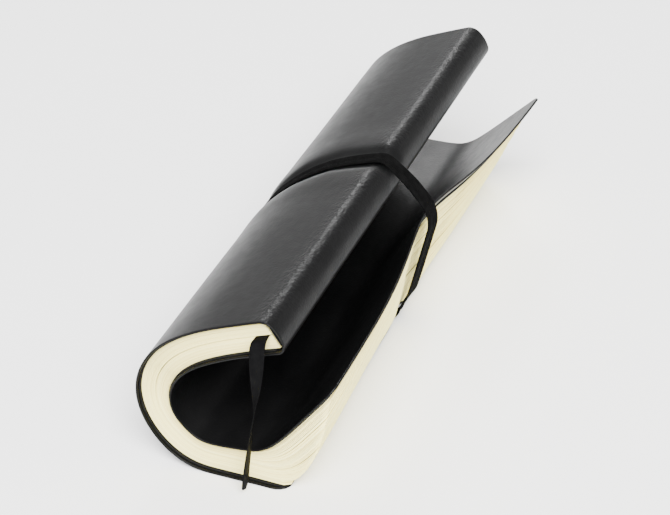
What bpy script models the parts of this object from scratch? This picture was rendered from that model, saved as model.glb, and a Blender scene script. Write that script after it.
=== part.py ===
"""Soft-cover prayer book, curled into a loose roll and held by an elastic band.

Every sheet of the book (cover leather, card linings, endpapers, gatherings) is made flat, as a thin slab in
book coordinates, and then curled with one function, so that the stack stays nested:

    along   arc length on the outside of the roll, 0 at the spine's outer fold, growing towards the fore-edge
    depth   distance inwards from the outside of the roll
    y       position along the roll, from the near end to the far end

The roll lies along Y with its flat underside at Z = 0. The sheets part at one line on the outside of the
bend, where the upper, spine half of the book hinges on the lower, fore-edge half as the roll opens.
"""

import math

import bmesh
import bpy
import numpy as np
from mathutils import Vector
from mathutils.geometry import convex_hull_2d

MM = 0.001

# Driving dimensions, in millimetres
BOOK_LENGTH = 210.0        # head to tail, along the roll
COVER_WIDTH = 132.0        # spine to fore-edge, along the sheet
LINING_LENGTH = 208.0
PAGE_LENGTH = 206.0
PAGE_WIDTH = 127.0
STACK = 12.3               # whole thickness of the book, outside to outside
LEATHER = 0.8
LINING = 0.45              # flexible card under the leather
ENDPAPER = 0.25
GATHERINGS = 6
LAYER_GAP = 0.3
RIBBON_SLOT = 0.5          # room between the two middle gatherings for the ribbon
SPINE_SLANT = 0.25         # how far the spine leans out, per millimetre of depth
SPINE_TOP_ROUND = 2.4
SPINE_ROUND = 2.2          # radius of the fold between the spine and the inner cover

# The outside of the roll: (along, curvature per millimetre), straight between the entries
FLAT_START = 109.0
FLAT_END = 114.0
HINGE_ALONG = 65.0
CURVATURE = (
    (-20.0, 0.003), (14.0, 0.003), (34.0, 0.017), (49.0, 0.034), (64.0, 0.040), (84.0, 0.032),
    (101.0, 0.050), (FLAT_START, 0.0), (FLAT_END, 0.0), (126.0, 0.056), (138.0, 0.022), (150.0, 0.0),
    (200.0, 0.0),
)
FLAT_START_X = -8.5        # where the flat underside starts

# The fore-edge part turns a little along the roll: pinched in at the band, sprung out at the far end
TURN_FROM = 114.0
TURN_TO = 130.0
FAR_END_TURN = math.radians(-8.0)
PINCH_TURN = math.radians(11.5)
PINCH_REACH = 38.0
BAND_Y = 105.0
WAIST = 1.4                # how deep the band presses into the roll
WAIST_FLAT = 6.0           # half width of the pressed strip
WAIST_RAMP = 14.0

# The outer leaves hang down at the fore-edge, so that the underside stays flat
DROOP_EXACT = 3.0
DROOP_MOST = 6.0
COVER_DEPTH = 1.4

# Where the leaves stand apart in the bend, so that the inner side lifts: (along, half width, lift)
PUFFS = ((90.0, 9.0, 1.2), (122.0, 12.0, 2.1))

# At the near end the leaves fan out towards the fore-edge: how far the middle ones bulge, and where
FAN = 1.8
FAN_FROM = 112.0
FAN_RAMP = 30.0
FAN_REACH = 55.0

BAND_WIDTH = 6.3
BAND_THICKNESS = 0.9
BAND_CLEARANCE = 0.3
BAND_STATIONS = (8.0, 16.0, 23.0, 30.0, 36.0, 42.0, 47.0, 52.0, 57.0, 62.0, 67.0, 72.0, 77.0, 82.0, 87.0,
                 92.0, 97.0, 101.0, 105.0, 109.0, 114.0, 119.0, 123.0, 127.0, 130.0)
BAND_PAGE_DEPTHS = (2.4, 4.5, 7.0)

RIBBON_WIDTH = 5.0
RIBBON_THICKNESS = 0.2

# Layers standing against the spine, as distances from the spine's outside
SPINE_LINING_START = LEATHER + 0.35
MULL = 0.25
MULL_START = SPINE_LINING_START + LINING + 0.2
THREAD = 0.4
THREAD_START = MULL_START + MULL + 0.2
PAGES_START = THREAD_START + THREAD + 0.2
LINING_WIDTH = COVER_WIDTH - PAGES_START - 1.5
SPINE_LINING_DEPTHS = (2.0, STACK - 2.6)
MULL_LENGTH = PAGE_LENGTH - 10.0

# Where the paper block lies in the stack
STACK_START = LEATHER + LINING + 2 * LAYER_GAP
BLOCK_START = STACK_START + ENDPAPER + LAYER_GAP
GATHERING = (STACK - 2 * BLOCK_START - RIBBON_SLOT - (GATHERINGS - 2) * LAYER_GAP) / GATHERINGS
SEWING_STATIONS = (22.0, 62.0, 83.0, 127.0, 148.0, 188.0)
SEWING_DEPTHS = (STACK_START + 0.4, STACK - STACK_START - 0.4)

# The ribbon's flat run in the book
RIBBON_DEPTH = STACK / 2
RIBBON_START = PAGES_START + 0.6
RIBBON_NEAR_END = 2.0
RIBBON_FAR_END = BOOK_LENGTH - 4.0

# The ribbon's free tail: (x, y from the near end, z, turn of its width about the vertical, tilt of its width)
TAIL_THICKNESS = 0.4
TAIL_PIVOT = (7.8, -BOOK_LENGTH / 2 - 3.0, 59.1)
TAIL_ROUTE = (
    (7.8, 1.7, 59.1, 0.0, 20.0), (7.8, 0.0, 59.1, 2.0, 18.0), (7.75, -1.8, 58.6, 4.0, 12.0),
    (7.7, -3.0, 57.0, 4.0, 6.0), (7.7, -3.5, 54.0, 0.0, 0.0), (7.6, -3.8, 49.0, -12.0, 0.0),
    (7.3, -4.0, 43.0, -32.0, 0.0), (6.8, -4.0, 37.5, -54.0, 0.0), (6.3, -4.0, 31.5, -69.0, 0.0),
    (5.5, -4.0, 25.0, -79.0, 0.0), (4.6, -4.0, 18.0, -86.0, 0.0), (3.7, -4.0, 11.0, -90.0, 0.0),
    (3.1, -4.0, 5.5, -92.0, 0.0), (2.7, -4.0, 1.2, -92.0, 0.0),
)

ROWS = (0.0, 50.0, 91.0, 99.0, 111.0, 119.0, 142.0, 170.0, BOOK_LENGTH)
HINGE_GAP = 0.3            # between the two halves of a sheet at the hinge line
LAST_STRIP = 0.4           # least length of a sheet's last strip of faces
SPINE_HALF_STATIONS = (0.0, 14.0, 24.0, 32.0, 40.0, 46.0, 52.0, 58.0, HINGE_ALONG - HINGE_GAP / 2)
FORE_HALF_STATIONS = (HINGE_ALONG + HINGE_GAP / 2, 72.0, 79.0, 86.0, 93.0, 100.0, 106.0, 114.0, 119.0, 123.0,
                      127.0, 130.0, 133.0, 136.0, 139.0, 142.0, 145.0, 149.0, 155.0, 163.0)

COLLECTION = "prayer_book"


# ---------------------------------------------------------------- the curled shape

STEP = 0.25
ALONG = np.arange(-20.0, 200.0 + STEP, STEP)


def heading(turn):
    """Direction of the outside line at each ALONG, 0 along +X; turn is added across the fore-edge part."""
    knots, values = zip(*CURVATURE)
    bend = np.interp(ALONG, knots, values)
    bend = bend + np.where((ALONG > TURN_FROM) & (ALONG < TURN_TO), turn / (TURN_TO - TURN_FROM), 0.0)
    angle = np.concatenate(([0.0], np.cumsum((bend[1:] + bend[:-1]) / 2 * STEP)))
    return angle - np.interp(FLAT_START, ALONG, angle)


def soft_cap(value):
    """value up to DROOP_EXACT, then easing to DROOP_MOST."""
    rest = DROOP_MOST - DROOP_EXACT
    over = np.maximum(value - DROOP_EXACT, 0.0)
    return np.minimum(value, DROOP_EXACT) + rest * (1.0 - np.exp(-over / rest))


class Section:
    """The roll's cross-section at one y."""

    def __init__(self, y):
        reach = 1.0 / (1.0 + ((y - BAND_Y) / PINCH_REACH) ** 2)
        reach_at_end = 1.0 / (1.0 + (BAND_Y / PINCH_REACH) ** 2)
        turn = FAR_END_TURN * y / BOOK_LENGTH + PINCH_TURN * (reach - reach_at_end)
        self.angle = heading(turn)
        c, s = np.cos(self.angle), np.sin(self.angle)
        x = np.concatenate(([0.0], np.cumsum((c[1:] + c[:-1]) / 2 * STEP)))
        z = np.concatenate(([0.0], np.cumsum((s[1:] + s[:-1]) / 2 * STEP)))
        self.x = x - np.interp(FLAT_START, ALONG, x) + FLAT_START_X
        self.z = z - np.interp(FLAT_START, ALONG, z)
        lift = np.where(ALONG > FLAT_END, self.z / np.maximum(c, 0.3), 0.0)
        self.droop = soft_cap(lift)
        away = abs(y - BAND_Y)
        self.waist = WAIST * float(np.clip((WAIST_RAMP - away) / (WAIST_RAMP - WAIST_FLAT), 0.0, 1.0))
        self.puff = sum(lift * np.exp(-((ALONG - middle) / width) ** 2) for middle, width, lift in PUFFS)
        self.fan = FAN * math.exp(-(y / FAN_REACH) ** 2) * np.clip((ALONG - FAN_FROM) / FAN_RAMP, 0.0, 1.0)

    def point(self, along, depth):
        """(x, z) of a place in the stack."""
        angle = np.interp(along, ALONG, self.angle)
        loose = np.clip((STACK - COVER_DEPTH - depth) / (STACK - 2 * COVER_DEPTH), 0.0, 1.0)
        inwards = self.waist * (1.0 - depth / STACK) + depth - loose * np.interp(along, ALONG, self.droop)
        inwards = inwards + (1.0 - loose) * np.interp(along, ALONG, self.puff)
        inwards = inwards - math.sin(math.pi * loose) * np.interp(along, ALONG, self.fan)
        x = np.interp(along, ALONG, self.x) - np.sin(angle) * inwards
        z = np.interp(along, ALONG, self.z) + np.cos(angle) * inwards
        return x, z

    def end(self, depth, start, length):
        """The along value where a leaf of this length ends, when its spine edge is at start."""
        along = np.arange(start, 200.0, STEP)
        x, z = self.point(along, depth)
        run = np.concatenate(([0.0], np.cumsum(np.hypot(np.diff(x), np.diff(z)))))
        return float(np.interp(length, run, along))


SECTIONS = {}


def section(y):
    if y not in SECTIONS:
        SECTIONS[y] = Section(y)
    return SECTIONS[y]


def between_rows(y, value):
    """value(section) at y, straight between the two nearest ROWS, so that all layers share their facets."""
    after = next(i for i in range(1, len(ROWS)) if y <= ROWS[i] or i == len(ROWS) - 1)
    share = (y - ROWS[after - 1]) / (ROWS[after] - ROWS[after - 1])
    first, second = (np.array(value(section(ROWS[i]))) for i in (after - 1, after))
    return first + (second - first) * share


def place(along, depth, y):
    """Book coordinates to the model's frame, in metres, with the origin under the middle of the roll."""
    x, z = between_rows(y, lambda cut: cut.point(along, depth))
    return Vector((float(x) * MM, (y - BOOK_LENGTH / 2) * MM, float(z) * MM))


def sheet_end(depth, start, width):
    """The along value of a leaf's fore-edge, when its spine edge is start inside the spine."""
    return section(0.0).end(depth, spine_edge(depth) + start, width)


def gathering_depth(index):
    """Where a gathering starts; the two middle ones stand apart for the ribbon."""
    extra = RIBBON_SLOT - LAYER_GAP if index >= GATHERINGS // 2 else 0.0
    return BLOCK_START + index * (GATHERING + LAYER_GAP) + extra


def spine_edge(depth):
    return -SPINE_SLANT * depth


# ---------------------------------------------------------------- modelling helpers

def new_collection(name):
    made = bpy.data.collections.new(name)
    bpy.context.scene.collection.children.link(made)
    return made


def material(name, colour, roughness):
    made = bpy.data.materials.get(name)
    if made is None:
        made = bpy.data.materials.new(name)
        made.use_nodes = True
        shader = made.node_tree.nodes["Principled BSDF"]
        shader.inputs["Base Color"].default_value = (*colour, 1.0)
        shader.inputs["Roughness"].default_value = roughness
        shader.inputs["Metallic"].default_value = 0.0
    return made


def add_object(name, mesh, finish, parent):
    made = bpy.data.objects.new(name, mesh)
    mesh.materials.append(finish)
    PARTS.objects.link(made)
    made.parent = parent
    made.matrix_parent_inverse = parent.matrix_world.inverted()
    return made


def face_outwards(bm):
    bmesh.ops.recalc_face_normals(bm, faces=bm.faces)
    if bm.calc_volume(signed=True) < 0.0:
        bmesh.ops.reverse_faces(bm, faces=bm.faces)


def split_alike(bm, upper):
    """Splits every cell of both faces along the same diagonal, so that curled layers stay parallel."""
    for face in list(bm.faces):
        if len({vertex in upper for vertex in face.verts}) == 1:
            first = min(face.verts, key=lambda v: v.co.x + v.co.y)
            last = max(face.verts, key=lambda v: v.co.x + v.co.y)
            bmesh.utils.face_split(face, first, last)


def slab(name, across, rows, where, finish, parent, kept=None):
    """A flat slab of across by len(rows) - 1 cells, with each vertex moved to where(column, row value, side).

    kept(column, row index) says which cells stay, and all of them do without it.
    """
    bm = bmesh.new()
    down = len(rows) - 1
    bmesh.ops.create_grid(bm, x_segments=across, y_segments=down, size=0.5)
    if kept is not None:
        left_out = []
        for face in bm.faces:
            middle = face.calc_center_median()
            cell = (int((middle.x + 0.5) * across), int((middle.y + 0.5) * down))
            if not kept(*cell):
                left_out.append(face)
        bmesh.ops.delete(bm, geom=left_out, context="FACES")
    top = bmesh.ops.extrude_face_region(bm, geom=bm.faces[:], use_keep_orig=True)
    upper = {v for v in top["geom"] if isinstance(v, bmesh.types.BMVert)}
    split_alike(bm, upper)
    for vertex in bm.verts:
        column = round((vertex.co.x + 0.5) * across)
        row = round((vertex.co.y + 0.5) * down)
        vertex.co = where(column, rows[row], 1 if vertex in upper else 0)
    face_outwards(bm)
    mesh = bpy.data.meshes.new(name)
    bm.to_mesh(mesh)
    bm.free()
    return add_object(name, mesh, finish, parent)


def sheet_halves(name, depth, thickness, width, length, start, finish):
    """One sheet of the stack as its spine half and its fore-edge half."""
    margin = (BOOK_LENGTH - length) / 2
    rows = [margin, *ROWS[1:-1], BOOK_LENGTH - margin]

    def spine_half(column, y, side):
        deep = depth + thickness * side
        along = SPINE_HALF_STATIONS[column] if column else spine_edge(deep) + start
        return place(along, deep, y)

    slab(name + "_spine_half", len(SPINE_HALF_STATIONS) - 1, rows, spine_half, finish, UPPER)
    depths = (depth, depth + thickness)
    fore_half(name + "_fore_half", depths, depths, start, width, rows, finish)


def fore_half(name, depths, end_depths, start, width, rows, finish):
    """The part of a sheet beyond the hinge line; end_depths say at which depths its width is measured."""
    ends = [sheet_end(deep, start, width) for deep in end_depths]
    stations = [value for value in FORE_HALF_STATIONS if value < min(ends) - LAST_STRIP]

    def where(column, y, side):
        along = stations[column] if column < len(stations) else ends[side]
        return place(along, depths[side], y)

    slab(name, len(stations), rows, where, finish, LOWER)


# ---------------------------------------------------------------- the pieces

def fold_arc(centre, radius, first, last, steps):
    """Points of an arc in (along, depth), from one direction to the other, in degrees."""
    made = []
    for i in range(steps + 1):
        turn = math.radians(first + (last - first) * i / steps)
        made.append((centre[0] + radius * math.cos(turn), centre[1] + radius * math.sin(turn)))
    return made


def leather_wrap():
    """The cover leather's spine half: outer side, round the spine, and back along the inner side."""
    lean = math.degrees(math.atan(SPINE_SLANT))
    slant = math.cos(math.radians(lean))
    low_depth = STACK - SPINE_ROUND
    top_centre = (spine_edge(SPINE_TOP_ROUND) + SPINE_TOP_ROUND / slant, SPINE_TOP_ROUND)
    low_centre = (spine_edge(low_depth) + SPINE_ROUND / slant, low_depth)
    flat = SPINE_HALF_STATIONS[1:]
    outside = [(along, 0.0) for along in reversed(flat)]
    inside = [(along, LEATHER) for along in reversed(flat)]
    for line, inset in ((outside, 0.0), (inside, LEATHER)):
        line += fold_arc(top_centre, SPINE_TOP_ROUND - inset, 270.0, 180.0 + lean, 3)
        line += fold_arc(low_centre, SPINE_ROUND - inset, 180.0 + lean, 90.0, 4)
    outside += [(along, STACK) for along in flat]
    inside += [(along, STACK - LEATHER) for along in flat]

    def where(column, y, side):
        along, depth = (inside if side else outside)[column]
        return place(along, depth, y)

    slab("cover_leather_spine_half", len(outside) - 1, ROWS, where, LEATHER_FINISH, UPPER)


def leather_fore_half(name, depth):
    """The cover leather beyond the hinge line, on the outer or the inner side of the roll."""
    middle = depth + LEATHER / 2
    fore_half(name, (depth, depth + LEATHER), (middle, middle), 0.0, COVER_WIDTH, ROWS, LEATHER_FINISH)


def spine_piece(name, start, thickness, depths, length, finish):
    """A strip standing against the spine, across the stack."""
    margin = (BOOK_LENGTH - length) / 2
    rows = [margin, *ROWS[1:-1], BOOK_LENGTH - margin]
    steps = 2

    def where(column, y, side):
        depth = depths[0] + (depths[1] - depths[0]) * column / steps
        return place(spine_edge(depth) + start + thickness * side, depth, y)

    slab(name, steps, rows, where, finish, UPPER)


def sewing_thread():
    """A run of thread over the backs of the gatherings at each station, linked by one run along the spine."""
    rows = []
    for station in SEWING_STATIONS:
        rows += [station, station + THREAD]
    middle = STACK / 2
    depths = (SEWING_DEPTHS[0], middle - THREAD / 2, middle + THREAD / 2, SEWING_DEPTHS[1])

    def where(column, y, side):
        depth = depths[column]
        return place(spine_edge(depth) + THREAD_START + THREAD * side, depth, y)

    def on_thread(column, row):
        return column == 1 or row % 2 == 0

    slab("sewing_thread", 3, rows, where, THREAD_FINISH, UPPER, on_thread)


def band_line():
    """The band's inner line round the roll, as (x, z) in millimetres, taut across the hollows."""
    middle = section(BAND_Y)
    outer_end = sheet_end(LEATHER / 2, 0.0, COVER_WIDTH)
    inner_end = sheet_end(STACK - LEATHER / 2, 0.0, COVER_WIDTH)
    places = [(along, -BAND_CLEARANCE) for along in BAND_STATIONS]
    places += [
        (outer_end + 0.6, -BAND_CLEARANCE - 0.1),
        (outer_end + 1.1, LEATHER),
    ]
    places += [(sheet_end(depth, PAGES_START, PAGE_WIDTH) + 0.7, depth) for depth in BAND_PAGE_DEPTHS]
    places += [
        (inner_end + 1.1, STACK - LEATHER),
        (inner_end + 0.7, STACK + 0.5),
        (spine_edge(STACK) + 1.2, STACK + 0.5),
        (spine_edge(STACK) - 0.4, STACK - 0.4),
        (spine_edge(STACK) - 0.4, STACK - SPINE_ROUND),
        (-0.8, 1.5),
        (0.3, 0.1),
        (1.6, -BAND_CLEARANCE),
    ]
    points = [Vector([float(value) for value in middle.point(*spot)]) for spot in places]
    return [points[i] for i in convex_hull_2d(points)]


def elastic_band():
    """A flat elastic loop: its inner line round the roll, extruded along Y and thickened outwards."""
    line = band_line()
    bm = bmesh.new()
    ring = bmesh.ops.create_circle(bm, segments=len(line), radius=1.0)["verts"]
    near = BAND_Y - BOOK_LENGTH / 2 - BAND_WIDTH / 2
    for vertex, (x, z) in zip(ring, line):
        vertex.co = Vector((x, near, z)) * MM
    swept = bmesh.ops.extrude_edge_only(bm, edges=bm.edges[:])
    far_side = [item for item in swept["geom"] if isinstance(item, bmesh.types.BMVert)]
    bmesh.ops.translate(bm, verts=far_side, vec=(0.0, BAND_WIDTH * MM, 0.0))
    bmesh.ops.recalc_face_normals(bm, faces=bm.faces)
    mesh = bpy.data.meshes.new("elastic_band")
    bm.to_mesh(mesh)
    bm.free()
    band = add_object("elastic_band", mesh, ELASTIC_FINISH, BAND)
    thicken = band.modifiers.new("thickness", "SOLIDIFY")
    thicken.thickness = BAND_THICKNESS * MM
    thicken.offset = 1.0


def ribbon_run():
    """The marker's flat run between the two middle gatherings, from the far end to the near end."""
    rows = [RIBBON_NEAR_END, *ROWS[1:-1], RIBBON_FAR_END]

    def where(column, y, side):
        depth = RIBBON_DEPTH - RIBBON_THICKNESS / 2 + RIBBON_THICKNESS * side
        return place(spine_edge(depth) + RIBBON_START + RIBBON_WIDTH * column, depth, y)

    slab("ribbon_run", 1, rows, where, RIBBON_FINISH, UPPER)


def ribbon_tail():
    """The marker's free tail: over the pages' edge, then hanging before the near end and turning edge on."""
    last = len(TAIL_ROUTE) - 1

    def where(column, row, side):
        x, y, z, *angles = TAIL_ROUTE[row]
        turn, tilt = map(math.radians, angles)
        before, after = TAIL_ROUTE[max(row - 1, 0)], TAIL_ROUTE[min(row + 1, last)]
        run = (Vector(after[:3]) - Vector(before[:3])).normalized()
        across = Vector((math.cos(turn) * math.cos(tilt), math.sin(turn) * math.cos(tilt), math.sin(tilt)))
        across = (across - run * across.dot(run)).normalized()
        face = run.cross(across)
        point = Vector((x, y - BOOK_LENGTH / 2, z))
        point += across * RIBBON_WIDTH * (column - 0.5) + face * TAIL_THICKNESS * (side - 0.5)
        return point * MM

    slab("ribbon_tail", 1, list(range(last + 1)), where, RIBBON_FINISH, TAIL)


# ---------------------------------------------------------------- build

def joint_empty(name, location):
    made = bpy.data.objects.new(name, None)
    made.location = [value * MM for value in location]
    PARTS.objects.link(made)
    return made


for old in list(bpy.data.objects):
    bpy.data.objects.remove(old, do_unlink=True)

PARTS = new_collection(COLLECTION)

hinge_x, hinge_z = section(0.0).point(HINGE_ALONG, 0.0)
LOWER = joint_empty("root", (0.0, 0.0, 0.0))
UPPER = joint_empty("upper_half", (float(hinge_x), 0.0, float(hinge_z)))
BAND = joint_empty("band", (0.0, 0.0, 0.0))
TAIL = joint_empty("tail", TAIL_PIVOT)
bpy.context.view_layer.update()

LEATHER_FINISH = material("black_leather", (0.018, 0.018, 0.019), 0.45)
LINING_FINISH = material("lining_card", (0.10, 0.10, 0.10), 0.8)
PAPER_FINISH = material("cream_paper", (0.84, 0.79, 0.62), 0.85)
THREAD_FINISH = material("thread", (0.80, 0.78, 0.70), 0.8)
ELASTIC_FINISH = material("black_elastic", (0.02, 0.02, 0.02), 0.75)
RIBBON_FINISH = material("black_satin", (0.015, 0.015, 0.018), 0.3)

# Cover leather and its linings
leather_wrap()
leather_fore_half("cover_leather_front_fore_half", 0.0)
leather_fore_half("cover_leather_back_fore_half", STACK - LEATHER)
front_lining = LEATHER + LAYER_GAP
sheet_halves("front_lining", front_lining, LINING, LINING_WIDTH, LINING_LENGTH, PAGES_START, LINING_FINISH)
sheet_halves("back_lining", STACK - front_lining - LINING, LINING, LINING_WIDTH, LINING_LENGTH, PAGES_START,
             LINING_FINISH)

# Endpapers and gatherings
front_paper = front_lining + LINING + LAYER_GAP
back_paper = STACK - front_paper - ENDPAPER
sheet_halves("front_endpaper", front_paper, ENDPAPER, PAGE_WIDTH, PAGE_LENGTH, PAGES_START, PAPER_FINISH)
sheet_halves("back_endpaper", back_paper, ENDPAPER, PAGE_WIDTH, PAGE_LENGTH, PAGES_START, PAPER_FINISH)
for i in range(GATHERINGS):
    sheet_halves(f"gathering_{i + 1}", gathering_depth(i), GATHERING, PAGE_WIDTH, PAGE_LENGTH, PAGES_START,
                 PAPER_FINISH)

# Spine
spine_piece("spine_lining", SPINE_LINING_START, LINING, SPINE_LINING_DEPTHS, LINING_LENGTH, LINING_FINISH)
spine_piece("spine_mull", MULL_START, MULL, (STACK_START, STACK - STACK_START), MULL_LENGTH, THREAD_FINISH)
sewing_thread()

# Ribbon marker and elastic band
ribbon_run()
ribbon_tail()
elastic_band()
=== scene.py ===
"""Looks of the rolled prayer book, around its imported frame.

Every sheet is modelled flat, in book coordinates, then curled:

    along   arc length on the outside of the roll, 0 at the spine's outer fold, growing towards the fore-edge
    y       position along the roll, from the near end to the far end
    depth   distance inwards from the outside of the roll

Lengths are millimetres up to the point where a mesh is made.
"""

import math

import bmesh
import bpy
import numpy as np
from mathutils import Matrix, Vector, noise
from mathutils.geometry import convex_hull_2d


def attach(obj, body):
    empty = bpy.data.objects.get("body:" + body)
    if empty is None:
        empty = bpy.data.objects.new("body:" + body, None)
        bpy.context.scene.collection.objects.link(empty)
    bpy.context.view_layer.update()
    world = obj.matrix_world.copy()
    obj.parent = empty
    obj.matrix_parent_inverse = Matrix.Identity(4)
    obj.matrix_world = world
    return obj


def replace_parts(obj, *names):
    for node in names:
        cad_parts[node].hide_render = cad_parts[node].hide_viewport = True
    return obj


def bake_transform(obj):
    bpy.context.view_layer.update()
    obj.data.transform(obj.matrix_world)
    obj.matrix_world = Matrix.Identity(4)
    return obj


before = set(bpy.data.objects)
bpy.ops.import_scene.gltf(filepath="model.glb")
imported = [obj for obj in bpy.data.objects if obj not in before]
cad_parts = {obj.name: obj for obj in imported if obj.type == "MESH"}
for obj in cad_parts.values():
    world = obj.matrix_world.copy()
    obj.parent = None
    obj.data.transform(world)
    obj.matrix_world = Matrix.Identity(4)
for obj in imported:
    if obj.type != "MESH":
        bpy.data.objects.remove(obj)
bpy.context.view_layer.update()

MM = 0.001

# ---------------------------------------------------------------- the book's sizes, as in the frame

BOOK_LENGTH = 210.0
COVER_WIDTH = 132.0
LINING_LENGTH = 208.0
PAGE_LENGTH = 206.0
PAGE_WIDTH = 127.0
STACK = 12.3
LEATHER = 0.8
LINING = 0.45
ENDPAPER = 0.25
GATHERINGS = 6
LAYER_GAP = 0.03           # tighter than the frame's
SPINE_SLANT = 0.25
SPINE_TOP_ROUND = 4.4      # this fold of the spine and the next are rounder than the frame's
SPINE_ROUND = 2.8
SPINE_BULGE = 0.8          # how far the spine swells between its folds

# The outside line of the roll: (along, curvature per mm), level between FLAT_START and FLAT_END
FLAT_START = 109.0
FLAT_END = 114.0
CURVATURE = (
    (-20.0, 0.003), (14.0, 0.003), (34.0, 0.017), (49.0, 0.034), (64.0, 0.040), (84.0, 0.032),
    (101.0, 0.050), (FLAT_START, 0.0), (FLAT_END, 0.0), (126.0, 0.056), (138.0, 0.022), (150.0, 0.0),
    (200.0, 0.0),
)
FLAT_START_X = -8.5
TURN_FROM = 114.0          # the lower half turns between these, by amounts that change along the roll
TURN_TO = 130.0
FAR_END_TURN = math.radians(-8.0)
PINCH_TURN = math.radians(11.5)
PINCH_REACH = 38.0
BAND_Y = 105.0
DROOP_EXACT = 3.0          # the outer leaves hang down by the lift of the curl, exactly up to this
DROOP_MOST = 6.0
LEAST_COSINE = 0.3         # keeps the droop finite where the outside line stands upright
COVER_DEPTH = 1.4          # the leaves lie this far or more from both faces of the stack
PUFFS = ((90.0, 9.0, 1.2), (122.0, 12.0, 2.1))  # where the inner leaves lift: (along, width, height)
PUFF_NEAR = 0.75           # shares of the puffs at the near end and the far end; INNER_EASE does the rest
PUFF_FAR = 0.1
INNER_EASE = 7.0           # over how much length the inner leaves ease their bends, to each side
FAN = 1.8                  # how far the middle leaves fan out near the fore-edge, at the near end
FAN_FROM = 112.0
FAN_RAMP = 30.0
FAN_REACH = 55.0

BAND_WIDTH = 6.3
BAND_THICKNESS = 0.9
BAND_CLEARANCE = 0.3
BAND_WAIST = 1.4
BAND_STATIONS = (8.0, 16.0, 23.0, 30.0, 36.0, 42.0, 47.0, 52.0, 57.0, 62.0, 67.0, 72.0, 77.0, 82.0, 87.0,
                 92.0, 97.0, 101.0, 105.0, 109.0, 114.0, 119.0, 123.0, 127.0, 130.0)
BAND_PAGE_DEPTHS = (2.4, 4.5, 7.0)

RIBBON_WIDTH = 5.0
SPINE_GAP = 0.2
SPINE_LINING_START = LEATHER + 0.35
MULL = 0.25
MULL_START = SPINE_LINING_START + LINING + SPINE_GAP
THREAD = 0.4
THREAD_START = MULL_START + MULL + SPINE_GAP
PAGES_START = THREAD_START + THREAD + SPINE_GAP
LINING_MARGIN = 1.5
LINING_WIDTH = COVER_WIDTH - PAGES_START - LINING_MARGIN
STACK_START = LEATHER + LINING + 2 * LAYER_GAP
SPINE_LINING_DEPTHS = (2.9, STACK - 2.6)
MULL_LENGTH = PAGE_LENGTH - 10.0
SEWING_STATIONS = (22.0, 62.0, 83.0, 127.0, 148.0, 188.0)
SEWING_DEPTHS = (STACK_START + THREAD, STACK - STACK_START - THREAD)
RIBBON_START = PAGES_START + 0.6
RIBBON_NEAR_END = 2.0
RIBBON_FAR_END = BOOK_LENGTH - 4.0

# The ribbon's free tail: (x, y from the near end, z, turn of its width about the vertical, tilt of its width)
TAIL_ROUTE = (
    (7.8, 1.7, 59.1, 0.0, 20.0), (7.8, 0.0, 59.1, 2.0, 18.0), (7.75, -1.8, 58.6, 4.0, 12.0),
    (7.7, -3.0, 57.0, 4.0, 6.0), (7.7, -3.5, 54.0, 0.0, 0.0), (7.6, -3.8, 49.0, -12.0, 0.0),
    (7.3, -4.0, 43.0, -32.0, 0.0), (6.8, -4.0, 37.5, -54.0, 0.0), (6.3, -4.0, 31.5, -69.0, 0.0),
    (5.5, -4.0, 25.0, -79.0, 0.0), (4.6, -4.0, 18.0, -86.0, 0.0), (3.7, -4.0, 11.0, -90.0, 0.0),
    (3.1, -4.0, 5.5, -92.0, 0.0), (2.7, -4.0, 1.2, -92.0, 0.0),
)

# Looks only: the cover
COVER_CORNER = 4.5         # radius of the cover's fore-edge corners
LINING_CORNER = COVER_CORNER - 1.0
LINING_INSET = 1.5         # the linings start this much later than in the frame, clear of the spine's fold
FOLD_HEIGHT = 0.0655       # the top fold's height, in metres
FOLD_BAND = 0.0018         # how far below it the wrinkles start
GROOVE = 1.7               # how deep the band presses the sheets in
GROOVE_HALF_WIDTH = 6.6
SWELL = 0.25               # how far they swell beside it, SWELL_AWAY from its middle
SWELL_AWAY = 14.0
SWELL_WIDTH = 7.0
LEATHER_STEP = 1.1
FOLD_STEP = 0.4            # finer, for FOLD_STEP_REACH beside the top fold
FOLD_STEP_REACH = 2.4
PAST_FOLD = 0.3
# Relief of the leather: (height, pitch round the cover, pitch along the roll, layer of the noise)
SOFT_RELIEF = (0.10, 14.0, 30.0, 1.7)
FINE_RELIEF = (0.02, 1.6, 3.4, 5.1)
FOLD_RELIEF = (0.07, 1.5, 2.2, 9.3)
WRINKLES_AT = 1.5          # where the leather folds over the spine, and how wide its wrinkles are
WRINKLES_WIDTH = 1.9

# Looks only: the leaves
PAGE_CORNER = 1.2
LEAVES = 10                # leaves modelled in each gathering
LEAF_STEPS = (3.2, 7.0)    # across the book and along the roll
SHEET_STEPS = (2.0, 3.0)   # the same, for linings and endpapers
PAPER_GAP = 0.04
RIBBON_GAP = 0.26
LEAF_SHARES = (0.72, 0.93)  # least and most of its pitch that a leaf's thickness takes
GATHERING_SHIFT = 0.25     # most that a gathering's fore-edge differs, then that of one leaf
LEAF_SHIFT = 0.14
LENGTH_SPREAD = 0.3        # most that a leaf's length differs
FOLD_ROUND = 0.45          # how much further from the spine a gathering's outer leaves start
LEAF_SWAY = 0.05           # most that a leaf's loose part stands off its place
LOOSE_FROM = 95.0          # where the leaves start to move freely
LOOSE_RAMP = 40.0
# How far a leaf's end slips at the near end: (depth, distance)
END_SLIP = ((2.0, -2.5), (6.0, 2.5), (10.0, 1.5))
SLIP_REACH = 50.0

# Looks only: the band
BAND_STEP = 0.7            # between its cross-sections
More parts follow.
